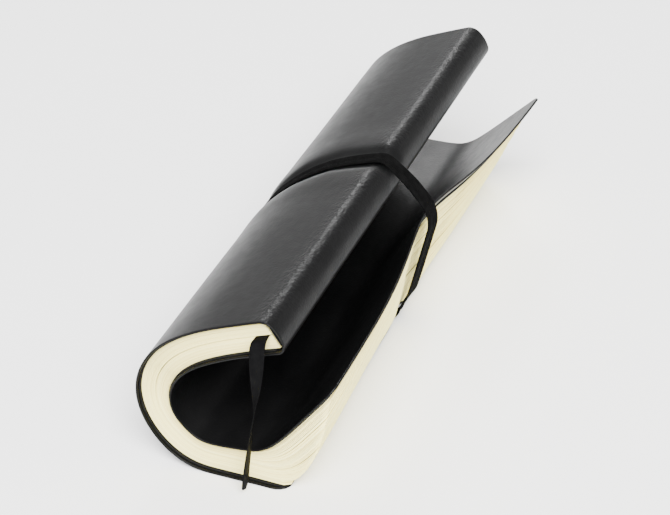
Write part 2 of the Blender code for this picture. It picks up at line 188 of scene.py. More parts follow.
# How far it has crept along the roll: (along, distance towards the far end)
BAND_STRAY = (
    (-5.0, 0.0), (5.0, 1.0), (20.0, 3.0), (34.0, 0.0), (48.0, -6.0), (70.0, -6.0), (100.0, -2.0),
    (128.0, 1.0), (136.0, 0.0), (150.0, -4.0),
)
STRAY_EASE = 9.8
BAND_BOW = 2.6             # how far it stands off the pages at the mouth, and how much it turns there
BAND_TWIST = math.radians(11.0)
BAND_EASE = 5.0            # how softly it turns there
BOW_FROM = (8.0, 1.0)      # where that starts, as (x, z)
BOW_RAMP = 14.0
EDGE_CLEARANCE = 1.1       # how far it clears the cover's edges, the pages and the inner side
PAGE_CLEARANCE = 0.7
INNER_CLEARANCE = 0.5
SPINE_CLEARANCE = 0.4
# Its way round the spine's top fold: (along, depth)
TOP_FOLD_PLACES = ((-0.8, 1.5), (0.3, 0.1), (1.6, -BAND_CLEARANCE))
BAND_SIDES = 48
SQUARE_ACROSS = 0.35       # powers that square its cross-section
SQUARE_THROUGH = 0.5
BAND_FULLNESS = 0.94
RIBS = 6
RIBS_REACH = 0.97          # share of its half width
RIB_HEIGHT = 0.12          # shares of its half thickness
MIDDLE_GROOVE = 0.9
MIDDLE_WIDTH = 0.12        # share of its half width

# Looks only: the sewing, and how far it wanders
STITCH_WANDER = 0.12
LINK_WANDER = 0.1

# Looks only: the ribbon
RIBBON_HALF = 0.1          # half the thickness of its run, and the height of its wave
RIBBON_WAVE = 0.04
TAIL_ROUND = 2.2           # length of its rounded end
TAIL_TIP = 0.985           # share of that length at which it stops, so that its last row has a width
TAIL_HALF = 0.13           # half its thickness
TAIL_CUP = 0.35

BLOCK_FROM = STACK_START + ENDPAPER + PAPER_GAP
LEAF_PITCH = (STACK - 2 * BLOCK_FROM - RIBBON_GAP) / (GATHERINGS * LEAVES)


# ---------------------------------------------------------------- camera

AIM = Vector((-0.0107, 0.0068, 0.0152))
VIEW_AZIMUTH = math.radians(20.906)
VIEW_ELEVATION = math.radians(33.666)
VIEW_DISTANCE = 0.7292
LENS = 107.5
SENSOR_WIDTH = 36.0


def add_camera():
    away = Vector((
        math.sin(VIEW_AZIMUTH) * math.cos(VIEW_ELEVATION),
        -math.cos(VIEW_AZIMUTH) * math.cos(VIEW_ELEVATION),
        math.sin(VIEW_ELEVATION),
    ))
    data = bpy.data.cameras.new("camera")
    data.lens = LENS
    data.sensor_width = SENSOR_WIDTH
    camera = bpy.data.objects.new("camera", data)
    camera.location = AIM + away * VIEW_DISTANCE
    camera.rotation_euler = (math.pi / 2 - VIEW_ELEVATION, 0.0, VIEW_AZIMUTH)
    bpy.context.scene.collection.objects.link(camera)
    bpy.context.scene.camera = camera


add_camera()


# ---------------------------------------------------------------- the curl

STEP = 0.25
ALONG = np.arange(-20.0, 200.0 + STEP, STEP)


def running_sum(values):
    return np.concatenate(([0.0], np.cumsum((values[1:] + values[:-1]) / 2 * STEP)))


def section(y):
    """The outside line of the roll at one y: x, z, direction, and how far the outer leaves hang from it."""
    reach = 1.0 / (1.0 + ((y - BAND_Y) / PINCH_REACH) ** 2)
    reach_at_end = 1.0 / (1.0 + (BAND_Y / PINCH_REACH) ** 2)
    turn = FAR_END_TURN * y / BOOK_LENGTH + PINCH_TURN * (reach - reach_at_end)
    knots, values = zip(*CURVATURE)
    curvature = np.interp(ALONG, knots, values)
    turning = (ALONG > TURN_FROM) & (ALONG < TURN_TO)
    curvature = curvature + np.where(turning, turn / (TURN_TO - TURN_FROM), 0.0)
    angle = running_sum(curvature)
    angle = angle - np.interp(FLAT_START, ALONG, angle)
    x, z = running_sum(np.cos(angle)), running_sum(np.sin(angle))
    x = x - np.interp(FLAT_START, ALONG, x) + FLAT_START_X
    z = z - np.interp(FLAT_START, ALONG, z)
    lift = np.where(ALONG > FLAT_END, z / np.maximum(np.cos(angle), LEAST_COSINE), 0.0)
    rest = DROOP_MOST - DROOP_EXACT
    over = np.maximum(lift - DROOP_EXACT, 0.0)
    droop = np.minimum(lift, DROOP_EXACT) + rest * (1.0 - np.exp(-over / rest))
    return x, z, angle, droop


SECTION_Y = np.arange(0.0, BOOK_LENGTH + 1.0)
SECTION_X, SECTION_Z, SECTION_ANGLE, SECTION_DROOP = (
    np.array(part) for part in zip(*map(section, SECTION_Y))
)
PUFF = sum(lift * np.exp(-(((ALONG - middle) / width) ** 2)) for middle, width, lift in PUFFS)


def read(table, along, y):
    """A section's value at (along, y), between the stored ones."""
    column = np.clip((along - ALONG[0]) / STEP, 0.0, len(ALONG) - 1.001)
    row = np.clip(y, 0.0, BOOK_LENGTH - 0.001)
    i, j = row.astype(int), column.astype(int)
    u, v = row - i, column - j
    near = table[i, j] * (1 - v) + table[i, j + 1] * v
    far = table[i + 1, j] * (1 - v) + table[i + 1, j + 1] * v
    return near * (1 - u) + far * u


def stray(along):
    """How far the band has crept along the roll from its middle."""
    return np.interp(along, *zip(*BAND_STRAY))


def waist(along, y):
    """How far the band draws the sheets in: a groove under it, and a low swell on both sides."""
    away = np.abs(y - BAND_Y - stray(along))
    groove = GROOVE * np.exp(-((away / GROOVE_HALF_WIDTH) ** 4))
    swell = SWELL * np.exp(-(((away - SWELL_AWAY) / SWELL_WIDTH) ** 2))
    return groove - swell


def loosened(depth):
    """1 at the outer leaves, which hang free of the curl, and 0 at the inner ones."""
    return np.clip((STACK - COVER_DEPTH - depth) / (STACK - 2 * COVER_DEPTH), 0.0, 1.0)


def placed(along, y, depth, press):
    """Book coordinates to x and z in the frame, in millimetres."""
    angle = read(SECTION_ANGLE, along, y)
    loose = loosened(depth)
    fan = FAN * np.exp(-((y / FAN_REACH) ** 2)) * np.clip((along - FAN_FROM) / FAN_RAMP, 0.0, 1.0)
    puff = np.interp(along, ALONG, PUFF) * (PUFF_NEAR - (PUFF_NEAR - PUFF_FAR) * y / BOOK_LENGTH)
    inwards = press(along, y) * (1.0 - depth / STACK) + depth - loose * read(SECTION_DROOP, along, y)
    inwards = inwards + (1.0 - loose) * puff - np.sin(math.pi * loose) * fan
    x = read(SECTION_X, along, y) - np.sin(angle) * inwards
    z = read(SECTION_Z, along, y) + np.cos(angle) * inwards
    return x, z


def curled(points, press=waist):
    """Book coordinates (n, 3) to the frame, in metres; inner leaves turn more softly than outer ones."""
    along, y, depth = np.asarray(points, float).T
    ease = INNER_EASE * (1.0 - loosened(depth))
    shares = (-1.0, -0.5, 0.0, 0.5, 1.0)
    x, z = np.mean([placed(along + ease * share, y, depth, press) for share in shares], axis=0)
    return np.stack((x, y - BOOK_LENGTH / 2, z), axis=1) * MM


def end_of(depth, start, length):
    """The along value where a leaf of this length ends, when its spine edge is at start."""
    along = np.arange(start, 200.0, STEP)
    points = curled(np.stack((along, np.zeros_like(along), np.full_like(along, depth)), axis=1)) / MM
    run = np.concatenate(([0.0], np.cumsum(np.linalg.norm(np.diff(points, axis=0), axis=1))))
    return float(np.interp(length, run, along))


def spine_edge(depth):
    return -SPINE_SLANT * depth


def sheet_end(depth, start, width):
    return end_of(depth, spine_edge(depth) + start, width)


def gathering_depth(index):
    extra = RIBBON_GAP if index >= GATHERINGS // 2 else 0.0
    return BLOCK_FROM + index * LEAVES * LEAF_PITCH + extra


# ---------------------------------------------------------------- mesh helpers

RIM = (0.06, 0.2, 0.45)    # extra rows of points near a sheet's edge
EDGE_SHARE = 0.35          # share of the thickness that is left at the very edge


def graded(first, last, step, rim=()):
    """Values from first to last about step apart, with extra ones at the rim distances from both ends."""
    count = max(2, round((last - first) / step))
    inner = [first + (last - first) * i / count for i in range(count + 1)]
    extra = [first + value for value in rim] + [last - value for value in rim]
    near = max(rim, default=0.0) * 1.2
    kept = [value for value in inner if first + near < value < last - near or value in (first, last)]
    return np.array(sorted(kept + extra))


def closed_grid(outer, inner):
    """A mesh from two grids of points, (columns, rows, 3) in book millimetres, joined along their rims."""
    columns, rows = outer.shape[:2]
    points = np.concatenate((outer.reshape(-1, 3), inner.reshape(-1, 3)))
    first = np.arange(columns * rows).reshape(columns, rows)
    second = first + columns * rows
    faces = []
    for grid, flip in ((first, False), (second, True)):
        quads = np.stack((grid[:-1, :-1], grid[1:, :-1], grid[1:, 1:], grid[:-1, 1:]), axis=-1).reshape(-1, 4)
        faces += (quads[:, ::-1] if flip else quads).tolist()
    rims = ((first[0], second[0]), (first[-1][::-1], second[-1][::-1]),
            (first[:, 0][::-1], second[:, 0][::-1]), (first[:, -1], second[:, -1]))
    for a, b in rims:
        faces += np.stack((a[:-1], a[1:], b[1:], b[:-1]), axis=-1).tolist()
    return points, faces


def make_piece(name, points, faces, finish, slot):
    """An object from book coordinates; several closed bodies may share it."""
    mesh = bpy.data.meshes.new(name)
    mesh.from_pydata((np.asarray(points) * MM).tolist(), [], faces)
    bm = bmesh.new()
    bm.from_mesh(mesh)
    bmesh.ops.recalc_face_normals(bm, faces=bm.faces)
    for face in bm.faces:
        face.smooth = True
    bm.to_mesh(mesh)
    bm.free()
    piece = bpy.data.objects.new(name, mesh)
    mesh.materials.append(finish)
    bpy.context.scene.collection.objects.link(piece)
    return piece


def curl_up(piece):
    """Moves a piece from book coordinates to its place in the roll, no lower than the floor."""
    mesh = piece.data
    flat = np.empty(len(mesh.vertices) * 3)
    mesh.vertices.foreach_get("co", flat)
    rolled = curled(flat.reshape(-1, 3) / MM)
    rolled[:, 2] = np.maximum(rolled[:, 2], 0.0)
    mesh.vertices.foreach_set("co", rolled.ravel())
    mesh.update()


def bend_and_curl(piece):
    """Puts a sheet that crosses the bend in its place in the roll, in one piece."""
    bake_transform(piece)
    curl_up(piece)


def edge_round(distance, radius):
    """Share of the full thickness at a distance from a rim."""
    near = 1.0 - np.clip(distance / radius, 0.0, 1.0)
    return EDGE_SHARE + (1.0 - EDGE_SHARE) * np.sqrt(1.0 - near ** 2)


def sheet_grids(line, side, thickness, length, corner, round_edge, shift=None, step_y=2.0, both_ends=True):
    """Two grids of a sheet whose cross-section follows line, with side the direction of its outer face.

    line and side are (columns, 2) in (along, depth). The fore-edge corners are rounded by corner.
    """
    run = np.concatenate(([0.0], np.cumsum(np.linalg.norm(np.diff(line, axis=0), axis=1))))
    to_end = run[-1] - run
    from_edge = np.minimum(run, to_end) if both_ends else to_end
    into_corner = np.clip(corner - from_edge, 0.0, corner)
    inset = corner - np.sqrt(np.maximum(corner ** 2 - into_corner ** 2, 0.0))
    margin = (BOOK_LENGTH - length) / 2 + inset
    shares = graded(0.0, length, step_y, RIM) / length
    y = margin[:, None] + shares[None, :] * (BOOK_LENGTH - 2 * margin)[:, None]
    to_side = np.minimum(shares, 1.0 - shares)[None, :] * (BOOK_LENGTH - 2 * margin)[:, None]
    rim = np.minimum(to_side, np.minimum(run, to_end)[:, None])
    half = thickness / 2 * edge_round(rim, round_edge)
    moved = 0.0 if shift is None else shift(line, y)[..., None] * side[:, None, :]
    grids = []
    for sign in (1.0, -1.0):
        flat = line[:, None, :] + sign * half[:, :, None] * side[:, None, :]
        grid = np.stack((flat[..., 0], y, flat[..., 1]), axis=-1)
        grid[..., [0, 2]] += moved
        grids.append(grid)
    return grids


def sides_of(line):
    """Unit normals of a cross-section line, to its left."""
    run = np.gradient(line, axis=0)
    run = run / np.linalg.norm(run, axis=1)[:, None]
    return np.stack((run[:, 1], -run[:, 0]), axis=1)


# ---------------------------------------------------------------- materials

def new_material(name, colour, roughness, **inputs):
    made = bpy.data.materials.new(name)
    made.use_nodes = True
    shader = made.node_tree.nodes["Principled BSDF"]
    shader.inputs["Base Color"].default_value = (*colour, 1.0)
    shader.inputs["Roughness"].default_value = roughness
    for label, value in inputs.items():
        shader.inputs[label.replace("_", " ")].default_value = value
    return made


class Nodes:
    """Short ways to add and link the nodes of one material."""

    def __init__(self, finish):
        self.tree = finish.node_tree
        self.shader = self.tree.nodes["Principled BSDF"]

    def add(self, kind, **settings):
        node = self.tree.nodes.new(kind)
        for name, value in settings.items():
            setattr(node, name, value)
        return node

    def link(self, output, target):
        self.tree.links.new(output, target)

    def coordinates(self, scale):
        """Object coordinates, stretched by scale along x, y and z."""
        where = self.add("ShaderNodeTexCoord")
        mapping = self.add("ShaderNodeMapping")
        mapping.inputs["Scale"].default_value = scale
        self.link(where.outputs["Object"], mapping.inputs["Vector"])
        return mapping.outputs["Vector"]

    def noise(self, scale, detail=4.0, roughness=0.55):
        made = self.add("ShaderNodeTexNoise")
        made.inputs["Scale"].default_value = 1.0
        made.inputs["Detail"].default_value = detail
        made.inputs["Roughness"].default_value = roughness
        self.link(self.coordinates(scale), made.inputs["Vector"])
        return made.outputs["Fac"]

    def cells(self, scale):
        made = self.add("ShaderNodeTexVoronoi")
        made.inputs["Scale"].default_value = 1.0
        self.link(self.coordinates(scale), made.inputs["Vector"])
        return made.outputs["Distance"]

    def stretch(self, value, low, high, to_low, to_high):
        """value from low..high to to_low..to_high."""
        made = self.add("ShaderNodeMapRange")
        for label, number in zip(("From Min", "From Max", "To Min", "To Max"), (low, high, to_low, to_high)):
            made.inputs[label].default_value = number
        self.link(value, made.inputs["Value"])
        return made.outputs["Result"]

    def math(self, operation, first, second):
        made = self.add("ShaderNodeMath", operation=operation)
        for socket, value in zip(made.inputs, (first, second)):
            if isinstance(value, float):
                socket.default_value = value
            else:
                self.link(value, socket)
        return made.outputs[0]

    def ramp(self, value, *stops):
        made = self.add("ShaderNodeValToRGB")
        elements = made.color_ramp.elements
        while len(elements) < len(stops):
            elements.new(1.0)
        for element, (position, colour) in zip(elements, stops):
            element.position = position
            element.color = (*colour, 1.0)
        self.link(value, made.inputs["Fac"])
        self.link(made.outputs["Color"], self.shader.inputs["Base Color"])

    def bump(self, height, distance, strength=1.0, before=None):
        made = self.add("ShaderNodeBump")
        made.inputs["Strength"].default_value = strength
        made.inputs["Distance"].default_value = distance
        self.link(height, made.inputs["Height"])
        if before is not None:
            self.link(before, made.inputs["Normal"])
        self.link(made.outputs["Normal"], self.shader.inputs["Normal"])
        return made.outputs["Normal"]


def leather_finish():
    """Smooth black leather: a faint pebbled grain, and wrinkles at the height of the fold over the spine."""
    made = new_material("black_leather", (0.005, 0.005, 0.005), 0.4, Specular_IOR_Level=0.09)
    nodes = Nodes(made)
    mottle = nodes.noise((60.0, 30.0, 60.0), 5.0)
    nodes.ramp(mottle, (0.3, (0.0022, 0.0022, 0.0023)), (0.7, (0.0045, 0.0045, 0.0046)))
    polish = nodes.noise((260.0, 220.0, 260.0), 3.0)
    nodes.link(nodes.stretch(polish, 0.3, 0.7, 0.35, 0.41), nodes.shader.inputs["Roughness"])
    grain = nodes.bump(nodes.cells((1500.0, 1300.0, 1500.0)), 0.00003)
    height = nodes.add("ShaderNodeSeparateXYZ")
    nodes.link(nodes.coordinates((1.0, 1.0, 1.0)), height.inputs["Vector"])
    on_fold = nodes.stretch(height.outputs["Z"], FOLD_HEIGHT - FOLD_BAND, FOLD_HEIGHT, 0.04, 1.0)
    wrinkles = nodes.math("MULTIPLY", on_fold, nodes.noise((900.0, 620.0, 900.0), 3.0))
    nodes.bump(wrinkles, 0.0003, 1.0, grain)
    return made


def paper_finish():
    """Cream book paper, each leaf slightly different."""
    made = new_material("cream_paper", (0.86, 0.80, 0.63), 0.85, Specular_IOR_Level=0.2)
    nodes = Nodes(made)
    leaf = nodes.add("ShaderNodeNewGeometry").outputs["Random Per Island"]
    cloudy = nodes.noise((25.0, 12.0, 25.0), 3.0)
    shade = nodes.math("ADD", nodes.math("MULTIPLY", leaf, 0.65), nodes.math("MULTIPLY", cloudy, 0.35))
    nodes.ramp(shade, (0.05, (0.74, 0.59, 0.20)), (0.4, (0.95, 0.86, 0.38)), (0.9, (0.98, 0.92, 0.46)))
    nodes.bump(nodes.noise((2500.0, 2500.0, 2500.0), 3.0), 0.00003)
    return made


def card_finish():
    """Black card that stiffens the cover, with a cloth-like face."""
    made = new_material("black_card", (0.005, 0.005, 0.005), 0.75, Specular_IOR_Level=0.1)
    nodes = Nodes(made)
    nodes.ramp(nodes.noise((300.0, 300.0, 300.0)), (0.3, (0.003, 0.003, 0.003)), (0.7, (0.008, 0.008, 0.008)))
    nodes.bump(nodes.cells((2200.0, 2200.0, 2200.0)), 0.00005)
    return made


def woven(name, dark, light, roughness, threads, distance, **inputs):
    """A weave: crossing waves as fine as threads, with a little dust of colour."""
    made = new_material(name, light, roughness, **inputs)
    nodes = Nodes(made)
    warp = nodes.add("ShaderNodeTexWave", bands_direction="X")
    weft = nodes.add("ShaderNodeTexWave", bands_direction="Y")
    for wave, scale in ((warp, (threads[0],) * 3), (weft, (threads[1],) * 3)):
        wave.inputs["Scale"].default_value = 1.0
        wave.inputs["Distortion"].default_value = 0.6
        nodes.link(nodes.coordinates(scale), wave.inputs["Vector"])
    weave = nodes.math("MAXIMUM", warp.outputs["Fac"], weft.outputs["Fac"])
    nodes.ramp(nodes.noise((400.0, 400.0, 400.0)), (0.3, dark), (0.7, light))
    nodes.bump(weave, distance)
    return made


LEATHER_FINISH = leather_finish()
PAPER_FINISH = paper_finish()
CARD_FINISH = card_finish()
MULL_FINISH = woven("mull_cloth", (0.62, 0.58, 0.48), (0.78, 0.75, 0.66), 0.85, (900.0, 900.0), 0.0001)
THREAD_FINISH = woven("linen_thread", (0.66, 0.62, 0.52), (0.82, 0.79, 0.70), 0.8, (2500.0, 2500.0), 0.00005)
SATIN_FINISH = woven("black_satin", (0.002, 0.002, 0.0022), (0.004, 0.004, 0.0042), 0.6, (1400.0, 1800.0),
                     0.00003, Specular_IOR_Level=0.015)
ELASTIC_FINISH = woven("black_elastic", (0.002, 0.002, 0.002), (0.004, 0.004, 0.004), 0.75, (700.0, 1100.0),
                       0.0001, Specular_IOR_Level=0.01)


# ---------------------------------------------------------------- ribbon marker

def smooth_route(points, steps):
    """Catmull-Rom through points, steps to each stretch."""
    points = np.array(points)
    padded = np.concatenate((2 * points[:1] - points[1:2], points, 2 * points[-1:] - points[-2:-1]))
    made = []
    for i in range(len(points) - 1):
        a, b, c, d = padded[i:i + 4]
        for t in np.arange(steps) / steps:
            made.append(0.5 * (2 * b + (c - a) * t + (2 * a - 5 * b + 4 * c - d) * t ** 2
                               + (3 * b - a - 3 * c + d) * t ** 3))
    made.append(points[-1])
    return np.array(made)


def ribbon_tail():
    """The marker's free tail: over the edge of the pages, then hanging and turning edge on."""
    route = smooth_route(TAIL_ROUTE, 8)
    centre = route[:, :3] - (0.0, BOOK_LENGTH / 2, 0.0)
    run = np.gradient(centre, axis=0)
    run = run / np.linalg.norm(run, axis=1)[:, None]
    turn, tilt = np.radians(route[:, 3]), np.radians(route[:, 4])
    across = np.stack((np.cos(turn) * np.cos(tilt), np.sin(turn) * np.cos(tilt), np.sin(tilt)), axis=1)
    across = across - run * np.sum(across * run, axis=1)[:, None]
    across = across / np.linalg.norm(across, axis=1)[:, None]
    face = np.cross(run, across)
    length = np.concatenate(([0.0], np.cumsum(np.linalg.norm(np.diff(centre, axis=0), axis=1))))
    into_end = np.clip(length - (length[-1] - TAIL_ROUND), 0.0, TAIL_ROUND * TAIL_TIP)
    half_width = RIBBON_WIDTH / 2 * np.sqrt(1.0 - (into_end / TAIL_ROUND) ** 2)
    shares = np.array((-1.0, -0.97, -0.9, -0.6, -0.3, 0.0, 0.3, 0.6, 0.9, 0.97, 1.0))
    thickness = TAIL_HALF * np.array((0.4, 0.9, 1.3, 1.0, 1.0, 1.0, 1.0, 1.0, 1.3, 0.9, 0.4))
    cupped = TAIL_CUP * (shares ** 2 - 0.4)
    sheets = []
    for sign in (1.0, -1.0):
        offset = cupped + sign * thickness
        grid = centre[:, None, :] + half_width[:, None, None] * shares[None, :, None] * across[:, None, :]
        sheets.append(grid + offset[None, :, None] * face[:, None, :])
    points, faces = closed_grid(*sheets)
    piece = make_piece("marker_tail", points, faces, SATIN_FINISH, "satin_ribbon")
    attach(piece, "marker_tail")
    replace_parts(piece, "ribbon_tail")


def ribbon_run():
    """The marker between the two middle gatherings, with a soft wave along its length."""
    depth = STACK / 2
    start = spine_edge(depth) + RIBBON_START
    rows = graded(RIBBON_NEAR_END, RIBBON_FAR_END, 3.0)
    across, rows = np.meshgrid(np.linspace(0.0, RIBBON_WIDTH, 7), rows, indexing="ij")
    wave = RIBBON_WAVE * np.sin(rows / 9.0) * np.cos(across / 2.0)
    half = np.where((across == 0) | (across == RIBBON_WIDTH), RIBBON_HALF / 2, RIBBON_HALF)
    sheets = [np.stack((start + across, rows, depth + wave + sign * half), axis=-1) for sign in (1.0, -1.0)]
    points, faces = closed_grid(*sheets)
    piece = make_piece("marker_run", points, faces, SATIN_FINISH, "satin_ribbon")
    curl_up(piece)
    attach(piece, "spine_half")
    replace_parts(piece, "ribbon_run")


# ---------------------------------------------------------------- cover

def arc(centre, radius, first, last, steps):
    turns = np.radians(np.linspace(first, last, steps + 1))
    return np.stack((centre[0] + radius * np.cos(turns), centre[1] + radius * np.sin(turns)), axis=1)


def cover_line():
    """Middle of the leather's thickness, from the outer fore-edge round the spine to the inner fore-edge."""
    lean = math.degrees(math.atan(SPINE_SLANT))
    slant = math.cos(math.radians(lean))
    half = LEATHER / 2
    low_depth = STACK - SPINE_ROUND
    top_centre = (spine_edge(SPINE_TOP_ROUND) + SPINE_TOP_ROUND / slant, SPINE_TOP_ROUND)
    low_centre = (spine_edge(low_depth) + SPINE_ROUND / slant, low_depth)
    outer_end = sheet_end(half, 0.0, COVER_WIDTH)
    inner_end = sheet_end(STACK - half, 0.0, COVER_WIDTH)
    outer = graded(top_centre[0] + PAST_FOLD, outer_end, LEATHER_STEP, RIM)[len(RIM) + 1:]
    outer = np.concatenate((np.arange(outer[0] - FOLD_STEP_REACH, outer[0], FOLD_STEP), outer))
    outer = outer[outer > top_centre[0] + FOLD_STEP / 2][::-1]
    inner = graded(low_centre[0] + PAST_FOLD, inner_end, LEATHER_STEP, RIM)[len(RIM):]
    first = np.stack((outer, np.full_like(outer, half)), axis=1)
    last = np.stack((inner, np.full_like(inner, STACK - half)), axis=1)
    top = arc(top_centre, SPINE_TOP_ROUND - half, 270.0, 180.0 + lean, 12)
    low = arc(low_centre, SPINE_ROUND - half, 180.0 + lean, 90.0, 9)
    panel = np.linspace(top[-1], low[0], 9)[1:-1]
    return np.concatenate((first, top, panel, low, last))


def relief(kind, s, t):
    """One kind of relief at s round the cover and t along the roll."""
    height, round_pitch, long_pitch, layer = kind
    return height * noise.noise(Vector((s / round_pitch, t / long_pitch, layer)))


def leather_relief(line, y):
    """Wrinkles and soft unevenness of the leather, and the swell of the spine: inwards, in millimetres."""
    made = np.zeros(y.shape)
    run = np.concatenate(([0.0], np.cumsum(np.linalg.norm(np.diff(line, axis=0), axis=1))))
    outside = line[:, 1] < STACK / 2
    on_fold = np.exp(-(((line[:, 0] - WRINKLES_AT) / WRINKLES_WIDTH) ** 2)) * outside
    on_spine = (line[:, 0] < SPINE_TOP_ROUND) * np.sin(np.clip(line[:, 1] / STACK, 0.0, 1.0) * math.pi) ** 2
    for i in range(y.shape[0]):
        for j in range(y.shape[1]):
            s, t = run[i], y[i, j]
            uneven = relief(SOFT_RELIEF, s, t) + relief(FINE_RELIEF, s, t)
            made[i, j] = uneven + on_fold[i] * relief(FOLD_RELIEF, s, t) - SPINE_BULGE * on_spine[i]
    return made


def cover_leather():
    line = cover_line()
    side = sides_of(line)
    grids = sheet_grids(line, side, LEATHER, BOOK_LENGTH, COVER_CORNER, LEATHER / 2, leather_relief,
                        LEATHER_STEP)
    points, faces = closed_grid(*grids)
    piece = make_piece("cover_leather", points, faces, LEATHER_FINISH, "cover_leather")
    bend_and_curl(piece)
    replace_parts(piece, "cover_leather_spine_half", "cover_leather_front_fore_half",
                "cover_leather_back_fore_half")


def flat_sheet(depth, thickness, width, length, corner, steps, start=PAGES_START, end_shift=0.0):
    """Grids of one sheet of the stack, in book coordinates."""
    step, step_y = steps
    middle = depth + thickness / 2
    first = spine_edge(middle) + start
    last = sheet_end(middle, start, width) + end_shift
    along = graded(first, last, step, (thickness * 0.3,))
    line = np.stack((along, np.full_like(along, middle)), axis=1)
    side = np.stack((np.zeros_like(along), -np.ones_like(along)), axis=1)
    return sheet_grids(line, side, thickness, length, corner, thickness / 2, step_y=step_y, both_ends=False)


def lining(name, depth):
    start = PAGES_START + LINING_INSET
    width = LINING_WIDTH - LINING_INSET
    grids = flat_sheet(depth, LINING, width, LINING_LENGTH, LINING_CORNER, SHEET_STEPS, start)
    piece = make_piece(name, *closed_grid(*grids), CARD_FINISH, "lining_card")
    bend_and_curl(piece)
    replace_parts(piece, name + "_spine_half", name + "_fore_half")


def endpaper(name, depth):
    grids = flat_sheet(depth, ENDPAPER, PAGE_WIDTH, PAGE_LENGTH, PAGE_CORNER, SHEET_STEPS)
    piece = make_piece(name, *closed_grid(*grids), PAPER_FINISH, "page_paper")
    bend_and_curl(piece)
    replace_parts(piece, name + "_spine_half", name + "_fore_half")


# ---------------------------------------------------------------- pages

def gathering(index, chance):
    """The leaves of one gathering: folded together at the spine, a little uneven at their free edges."""
    shared = chance.uniform(-GATHERING_SHIFT, GATHERING_SHIFT)
    points, faces = [], []
    for leaf in range(LEAVES):
        thickness = LEAF_PITCH * chance.uniform(*LEAF_SHARES)
        depth = gathering_depth(index) + LEAF_PITCH * leaf + (LEAF_PITCH - thickness) / 2
        off_middle = (leaf + 0.5) / LEAVES * 2.0 - 1.0
        fold = FOLD_ROUND * (1.0 - math.sqrt(1.0 - off_middle ** 2))
        length = PAGE_LENGTH + chance.uniform(-LENGTH_SPREAD, LENGTH_SPREAD)
        shift = shared + chance.uniform(-LEAF_SHIFT, LEAF_SHIFT)
        start = PAGES_START + fold
        grids = flat_sheet(depth, thickness, PAGE_WIDTH, length, PAGE_CORNER, LEAF_STEPS, start, shift)
        sway = chance.uniform(-LEAF_SWAY, LEAF_SWAY)
        slip = np.interp(depth, *zip(*END_SLIP))
        for grid in grids:
            loose = np.clip((grid[..., 0] - LOOSE_FROM) / LOOSE_RAMP, 0.0, 1.0)
            grid[..., 2] += sway * loose * (1.0 + 0.5 * np.sin(grid[..., 1] / 17.0 + leaf))
            grid[..., 0] += slip * loose ** 2 * np.exp(-((grid[..., 1] / SLIP_REACH) ** 2))
        leaf_points, leaf_faces = closed_grid(*grids)
        base = sum(len(block) for block in points)
        points.append(leaf_points)
        faces += [[corner + base for corner in face] for face in leaf_faces]
    name = f"gathering_{index + 1}"
    piece = make_piece(name, np.concatenate(points), faces, PAPER_FINISH, "page_paper")
    bend_and_curl(piece)
    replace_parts(piece, name + "_spine_half", name + "_fore_half")


# ---------------------------------------------------------------- spine

def spine_strip(name, start, thickness, reach, length, finish, slot):
    """A strip standing against the spine, across the stack from one depth of reach to the other."""
    depths = np.linspace(*reach, 12)
    line = np.stack((spine_edge(depths) + start + thickness / 2, depths), axis=1)
    side = sides_of(line)
    grids = sheet_grids(line, side, thickness, length, 0.0, thickness / 2, step_y=2.5)
    piece = make_piece(name, *closed_grid(*grids), finish, slot)
    curl_up(piece)
    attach(piece, "spine_half")
    return piece


def thread_tube(path, radius, sides=8):
    """A closed tube along a path of book coordinates."""
    path = np.array(path)
    run = np.gradient(path, axis=0)
    run = run / np.linalg.norm(run, axis=1)[:, None]
    across = np.cross(run, (1.0, 0.0, 0.0))
    across = across / np.linalg.norm(across, axis=1)[:, None]
    up = np.cross(run, across)
    turns = np.linspace(0.0, 2 * math.pi, sides, endpoint=False)
    rings = path[:, None, :] + radius * (np.cos(turns)[None, :, None] * across[:, None, :]
                                         + np.sin(turns)[None, :, None] * up[:, None, :])
    index = np.arange(len(path) * sides).reshape(len(path), sides)
    after = np.roll(index, -1, axis=1)
    faces = np.stack((index[:-1], after[:-1], after[1:], index[1:]), axis=-1).reshape(-1, 4).tolist()
    faces += [index[0].tolist()[::-1], index[-1].tolist()]
    return rings.reshape(-1, 3), faces


def sewing_thread():
    """Stitches over the backs of the gatherings at each station, and the kettle run that links them."""
    radius = THREAD / 2
    first, last = SEWING_DEPTHS
    depths = np.linspace(first, last, 40)
    points, faces = [], []

    def lay(path):
        tube_points, tube_faces = thread_tube(path, radius)
        base = sum(len(block) for block in points)
        points.append(tube_points)
        faces.extend([[corner + base for corner in face] for face in tube_faces])

    for station in SEWING_STATIONS:
        wander = STITCH_WANDER * np.sin((depths - first) / (LEAVES * LEAF_PITCH) * math.pi)
        lay(np.stack((spine_edge(depths) + THREAD_START + radius, station + wander, depths), axis=1))
    y = np.linspace(SEWING_STATIONS[0], SEWING_STATIONS[-1], 90)
    middle = np.full_like(y, STACK / 2)
    lay(np.stack((spine_edge(middle) + THREAD_START + radius, y, middle + LINK_WANDER * np.sin(y)), axis=1))
    piece = make_piece("stitching", np.concatenate(points), faces, THREAD_FINISH, "sewing_thread")
    curl_up(piece)
    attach(piece, "spine_half")
    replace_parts(piece, "sewing_thread")


# ---------------------------------------------------------------- elastic band

